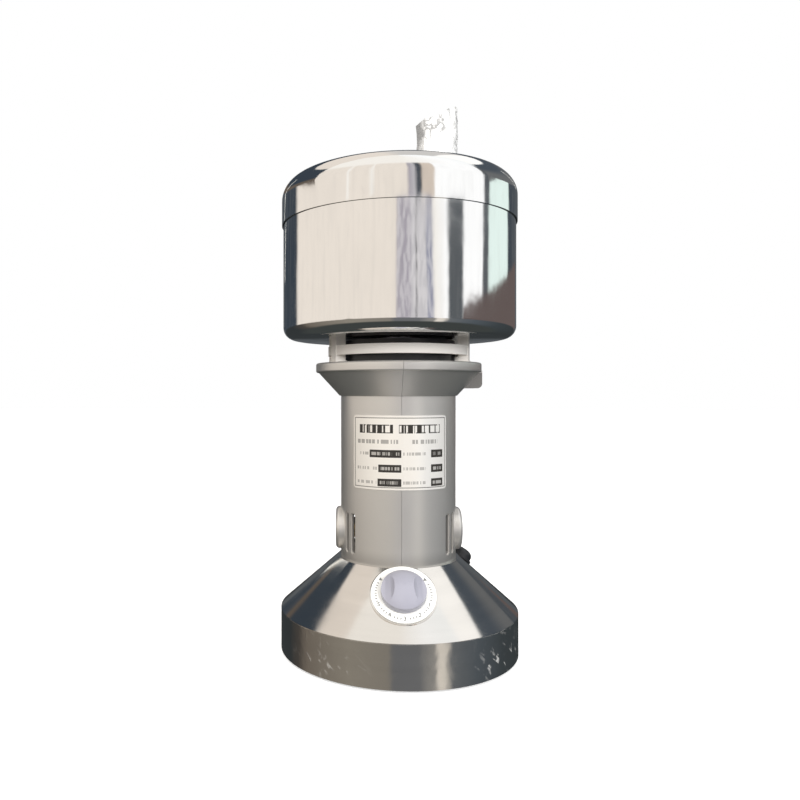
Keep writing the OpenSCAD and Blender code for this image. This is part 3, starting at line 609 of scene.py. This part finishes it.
wear(moulded("knob_plastic", (0.40, 0.40, 0.47), 0.34, 1400, 0.00006, 0.15), "timer_knob")
wear(moulded("black_plastic", (0.022, 0.023, 0.026), 0.36, 900, 0.00008),
     "cable_gland", "gland_nut", "brush_caps", "fan", "motor_cap")
wear(moulded("ivory_plastic", (0.78, 0.74, 0.64), 0.42, 700, 0.00005),
     "terminal_block", "timer_body")
wear(moulded("foot_rubber", (0.03, 0.03, 0.03), 0.72, 1100, 0.0001), "rubber_feet")
wear(moulded("silicone", (0.82, 0.82, 0.79), 0.5, 600, 0.00003), "lid_seal")
wear(moulded("carbon", (0.035, 0.035, 0.037), 0.55, 2000, 0.00005), "carbon_brushes")

# %% [markdown]
# Small turned and rolled metal: screws, bearings, brass and copper. Each has a tint of its own, fine
# turning marks, and duller patches where plating or lacquer has worn.

# %% Small metal parts
def turned(name, tint, rough, marks_size=1600):
    """Metal with fine turning marks round Z and duller worn patches."""
    metal = Finish(name, tint, rough, 1.0)
    x, y, z = metal.axes()
    marks = metal.noise(1.0, 2, metal.point(x * 60, y * 60, z * marks_size))
    dull = metal.noise(130, 4)
    metal.use("Base Color", metal.mix(dull, tint, tuple(c * 0.78 for c in tint)))
    metal.use("Roughness", rough - 0.05 + marks * 0.08 + dull.ease(0.5, 0.8) * 0.15)
    metal.use("Normal", metal.bump(marks, 0.2, 0.00004))
    return metal


wear(turned("plated_screws", (0.66, 0.66, 0.68), 0.3),
     "plate_screws", "clamp_screws", "timer_nut", "housing_screws", "motor_bolts", "bolt_spacers",
     "cage_screws", "bowl_screws", "bush_nut", "knob_screw")
wear(turned("ground_steel", (0.74, 0.74, 0.76), 0.18),
     "lower_bearing", "upper_bearing", "motor_shaft", "timer_shaft", "brush_springs")
wear(turned("brass", (0.78, 0.58, 0.26), 0.26), "brush_holders", "shaft_bush")
wear(turned("laminations", (0.24, 0.25, 0.27), 0.45, 5200), "stator_core", "armature_core")
wear(turned("copper_wire", (0.72, 0.34, 0.16), 0.34, 7000),
     "stator_coils", "armature_windings", "commutator")
wear(turned("ground_blades", (0.70, 0.70, 0.72), 0.24, 900),
     "lower_blade", "hammer_bar", "upper_blade", "blade_spacers", "blade_washer", "blade_nut")

# %% [markdown]
# The label is printed foil. Its drawing is made of bars: a frame line, a heading, a second line, and
# three rows with plain value boxes. Nothing can be read from it. Places on the label are measured as
# the angle round the column times its radius, and as the height.

# %% Places on the label
label = Finish("label_foil", (0.86, 0.83, 0.77), 0.32, 0.5)
x, y, z = label.axes()
label_low, label_high = low("label_plate"), high("label_plate")
label_mid = (label_low + label_high) / 2
LABEL_TURN = math.atan2(label_mid.x, math.sqrt(COLUMN_R ** 2 - label_high.x ** 2))
along = (x.math("ARCTAN2", y * -1) - LABEL_TURN) * (COLUMN_R / MM)
up = (z - label_mid.z) / MM
half_w = math.asin((label_high.x - label_low.x) / 2 / COLUMN_R) * COLUMN_R / MM
half_h = (label_high.z - label_low.z) / 2 / MM


def bar(centre_x, centre_y, width, tall):
    """1 inside a rectangle on the label, in millimetres from its middle."""
    across = (along - centre_x).size().below(width / 2)
    return across * (up - centre_y).size().below(tall / 2)


def dashes(centre_x, centre_y, width, tall, pitch, seed):
    """A rectangle broken into uneven dashes, like a line of small print."""
    speck = label.noise(1.0, 0, label.point(along / pitch, seed, 0.0)).above(0.47)
    return bar(centre_x, centre_y, width, tall) * speck


print("label is", round(2 * half_w, 1), "by", round(2 * half_h, 1), "mm")

# %% [markdown]
# The printing is laid out as a printer would: the frame line just inside the edge, the heading in heavy
# strokes joined at top and bottom, a paler second line, then rows of small print with a box each.

# %% Printing on the label
EDGE_GAP, LINE_WIDE = 1.2, 0.5
inner_w, inner_h = 2 * (half_w - EDGE_GAP), 2 * (half_h - EDGE_GAP)
line = bar(0, 0, inner_w, inner_h) - bar(0, 0, inner_w - 2 * LINE_WIDE, inner_h - 2 * LINE_WIDE)
marks = line * 0.85
HEAD_Z, HEAD_TALL, STROKE_TALL = 14.2, 5.2, 3.9
words = ((-15.5, 22, 3.1), (12.5, 27, 5.3))
heading = sum(dashes(at, HEAD_Z, wide, HEAD_TALL, 1.25, seed) for at, wide, seed in words)
ends = sum(bar(at, HEAD_Z, wide, HEAD_TALL) for at, wide, seed in words)
ends = (ends - bar(0, HEAD_Z, 60, STROKE_TALL)).above(0.5)
ends_side = (up - HEAD_Z).above(0) * 7
joined = label.noise(1.0, 0, label.point(along / 1.9, 6.4, ends_side)).above(0.44)
marks = marks + heading + ends * joined * 0.9
SECOND_Z, SECOND_TALL = 6.6, 2.4
marks = marks + dashes(-14.5, SECOND_Z, 27, SECOND_TALL, 1.2, 7.7) * 0.6
marks = marks + dashes(15.5, SECOND_Z, 17, SECOND_TALL, 1.2, 9.1) * 0.6
BOX_TALL, BOX_END, ROW_START, PRINT_TALL = 4.6, 0.4, -29.0, 1.8
rows = ((-0.6, -19.2), (-9.4, -13.5), (-17.8, -14.0))
for row, (row_z, box_from) in enumerate(rows):
    room_left = box_from - ROW_START
    left_mid = ROW_START + room_left / 2
    left_print = dashes(left_mid, row_z, room_left - 1.5, PRINT_TALL, 0.9, 11.3 + row)
    right_print = dashes(8.5, row_z, 14, PRINT_TALL, 0.9, 21.9 + row)
    marks = marks + left_print * 0.5 + right_print * 0.5
    for box_mid, box_w in (((box_from + BOX_END) / 2, BOX_END - box_from), (23.7, 9.0)):
        value = dashes(box_mid, row_z, box_w - 2.4, 1.9, 0.8, 31.7 + row)
        marks = marks + bar(box_mid, row_z, box_w, BOX_TALL) - value * 0.45
ink = marks.most(1.0)
ink = marks.most(1.0)
print("rows on the label:", len(rows))

# %% [markdown]
# The foil is silver, with its right side painted cooler as a painted reflection of the cool light
# there. It is rolled in fine level lines, and it has one upright crease where it bridges the split
# between the column's halves.

# %% Foil of the label
foil = label.noise(1.0, 3, label.point(along * 0.25, up * 9, 0.0))
ridge = 1 - ((along - 1.9).size() / 1.8).most(1.0)
silver = label.mix(foil * 0.6 + 0.05, (0.92, 0.885, 0.82), (0.82, 0.79, 0.74))
# Painted reflection: the right side of the foil is painted paler and cooler, as the cool light falls on
# it.
silver = label.mix((along - 4).ease(0, 14) * 0.6, silver, (0.86, 0.86, 0.855))
label.use("Base Color", label.mix(ink, silver, (0.030, 0.027, 0.024)))
label.use("Metallic", 0.3 - ink * 0.3)
label.use("Roughness", 0.30 + foil * 0.1 + ink * 0.2)
label.use("Normal", label.bump(foil * 0.5 - ink * 0.3 + ridge * 3, 0.3, 0.0001))
wear(label, "label_plate")

# %% [markdown]
# The timer's dial is white plastic printed in black. A Mapping node lays the pattern flat: it turns
# the sloping dial level and puts its centre at zero, so ticks are simply angles and rings.

# %% Dial ticks
dial = Finish("dial_print", (0.90, 0.90, 0.87), 0.3, 0.0, Coat_Weight=0.4)
level = dial.node("Mapping", settings={"vector_type": "TEXTURE"}, Vector=dial.place,
                  Location=tuple(DIAL_FOOT), Rotation=(DIAL_TILT, 0, 0))
dx = dial.node("SeparateXYZ", output=0, Vector=level)
dy = dial.node("SeparateXYZ", output=1, Vector=level)
ring = (dx * dx + dy * dy) ** 0.5 / MM
swing = dx.math("ARCTAN2", dy * -1) * (180 / math.pi)
TICK_STEP, LAST_TICK, ARROWS_AT = 6.4, 118, 127
NUMBERS_AT = (64, 32, 0, -32, -64)
offset = (swing + 360.0 + TICK_STEP / 2).math("MODULO", TICK_STEP) - TICK_STEP / 2
tick = offset.size().below(1.0) * ring.between(15.4, 16.6) * swing.size().below(LAST_TICK)
for number_at in NUMBERS_AT:
    tick = tick * (swing - number_at).size().above(6.5)
arrows = ((swing.size() - ARROWS_AT).size() * 0.55).below(ring - 14.6) * ring.below(16.8)
printed = (tick + arrows).most(1.0) * 0.85
dial.use("Base Color", dial.mix(printed, (0.90, 0.90, 0.87), (0.08, 0.08, 0.08)))
speckle = dial.noise(300, 3)
dial.use("Roughness", 0.26 + speckle * 0.1)
wear(dial, "dial_plate")

# %% [markdown]
# Clear film was left on the knob when it was unpacked. Cloth simulation could crumple it, but the film
# is only a few centimetres tall and its outline matters most. So it starts as a closed cylinder,
# subdivided in edit mode. Then each point is moved: the top is drawn up to a peak on one side, just
# above the knob on the other, and two sizes of noise crumple the wall.

# %% Shape of the film sleeve
FILM_IN = 1.1 * MM
KNOB_SPARE = 0.6 * MM
FOLD_SIZE = 4.2 * MM
film_low, film_high = low("knob_film"), high("knob_film")
film_mid = (film_low + film_high) / 2
film_r = (film_high.x - film_low.x) / 2
film_tall = film_high.z - film_low.z
bpy.ops.object.select_all(action="DESELECT")
bpy.ops.mesh.primitive_cylinder_add(vertices=96, radius=film_r - FILM_IN, depth=film_tall,
                                    location=film_mid, end_fill_type="TRIFAN")
film = bpy.context.object
film.name = "film_sleeve"
bpy.ops.object.transform_apply(location=True, rotation=True, scale=True)
bpy.ops.object.mode_set(mode="EDIT")
bpy.ops.mesh.select_all(action="SELECT")
bpy.ops.mesh.subdivide(number_cuts=5)
bpy.ops.object.mode_set(mode="OBJECT")
print("film vertices:", len(film.data.vertices))
LOW_TOP, HIGH_TOP = 0.015 + (high("lid_knob").z + KNOB_SPARE - film_low.z) / film_tall, 0.985
for v in film.data.vertices:
    rise_share = (v.co.z - film_low.z) / film_tall
    side = (v.co.x - film_mid.x) / film_r
    lean = 0.5 + 0.5 * math.tanh(2.6 * (side - 0.35))
    top = LOW_TOP + (HIGH_TOP - LOW_TOP) * lean - 0.03 * max(0.0, -side - 0.6) / 0.4
    v.co.z = film_low.z + film_tall * rise_share * top
    p = Vector((v.co.x, v.co.y, v.co.z)) / FOLD_SIZE
    fold = wrinkle_noise.turbulence(p * Vector((1.0, 1.0, 0.6)), 3, False) - 0.6
    fine = wrinkle_noise.noise(p * 2.6)
    out = Vector((v.co.x - film_mid.x, v.co.y - film_mid.y, 0))
    grow = (fold * 1.3 + fine * 0.5) * MM
    if out.length > 1e-6:
        v.co += out.normalized() * max(-0.8 * MM, min(0.9 * MM, grow))
    if rise_share > 0.9 and lean > 0.3:
        v.co.z += min(0.0, (fold * 0.9 + fine * 0.6) * MM - 0.3 * MM)
bpy.ops.object.shade_smooth()
bpy.ops.object.select_all(action="DESELECT")
print("film peak at", round(max(v.co.z for v in film.data.vertices), 4), "m")

# %% [markdown]
# Crumpled film scatters so much light that it looks white, and a weak white glow is painted on top as
# painted light. Its left edge, its top and its right side are painted grey as painted shade, and the
# folds there show as painted dark lines.

# %% Finish of the film
clear = Finish("clear_film", (0.96, 0.965, 0.96), 0.2, 0.0)
# A weak white emission is painted light: the film glows a little, though it is no lamp.
clear.shader.inputs["Emission Color"].default_value = (1, 1, 1, 1)
clear.shader.inputs["Emission Strength"].default_value = 0.12
x, y, z = clear.axes()
crumple = clear.noise(380, 4)
fold_lines = 1 - ((clear.noise(190, 3) - 0.5).size() * 11).most(1.0)
side = (x - film_mid.x) / film_r
top_share = (z - film_low.z) / film_tall
left_edge = (side * -1).ease(0.62, 0.80)
right_edge = side.ease(0.50, 0.80)
top_edge = (top_share - side.ease(0.0, 0.7) * 0.30).ease(0.44, 0.60)
edges = (right_edge * 0.8 + top_edge).most(1.0)
# Painted shade: the sleeve's left and right edges and its top are painted grey, with the fold lines
# darker still.
painted_film_shade = (left_edge * 0.75 + edges * (0.25 + fold_lines * 0.8)).most(1.0)
clear.use("Base Color", clear.mix(painted_film_shade, (0.98, 0.985, 0.98), (0.30, 0.30, 0.295)))
clear.use("Normal", clear.bump(crumple + fold_lines, 0.6, 0.0006))
clear.use("Roughness", 0.20 + crumple * 0.25)
clear.use("Alpha", 0.93 + crumple * 0.05)
film.data.materials.append(clear.material)
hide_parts("knob_film")
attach(film, "lid")
print("film replaces the plain sleeve")

# %% [markdown]
# The numbers on the dial are the only lettering: minutes, set round the lower edge. They could be drawn
# in the material like the ticks, but text made into a mesh has cleaner curves. Each number is made a
# mesh before its place is applied, and then all are joined into one thin printed piece.

# %% Dial numbers
DIAL_FACE = 1.2 * MM
DIGIT_TALL, DIGIT_THICK, DIGIT_RING = 3.6 * MM, 0.03 * MM, 16.0 * MM
numbers = []
for minute, angle in enumerate(NUMBERS_AT, 1):
    bpy.ops.object.select_all(action="DESELECT")
    bpy.ops.object.text_add()
    digit = bpy.context.object
    digit.data.body = str(minute)
    digit.data.size = DIGIT_TALL
    digit.data.align_x = "CENTER"
    digit.data.align_y = "CENTER"
    digit.data.extrude = DIGIT_THICK
    a = math.radians(angle)
    flat = Vector((math.sin(a), -math.cos(a), 0)) * DIGIT_RING
    digit.rotation_euler = (DIAL_TILT, 0, 0)
    turn = digit.rotation_euler.to_matrix()
    digit.location = DIAL_FOOT + DIAL_AXIS * (DIAL_FACE + DIGIT_THICK) + turn @ flat
    bpy.ops.object.convert(target="MESH")
    bpy.ops.object.transform_apply(location=True, rotation=True, scale=True)
    numbers.append(digit)
bpy.ops.object.select_all(action="DESELECT")
for digit in numbers:
    digit.select_set(True)
bpy.context.view_layer.objects.active = numbers[0]
bpy.ops.object.join()
dial_numbers = bpy.context.object
dial_numbers.name = "dial_numbers"
print_ink = moulded("dial_ink", (0.05, 0.05, 0.05), 0.4, 900, 0.00001)
dial_numbers.data.materials.append(print_ink.material)
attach(dial_numbers, "frame")
print("numbers on the dial:", len(numbers))

# %% [markdown]
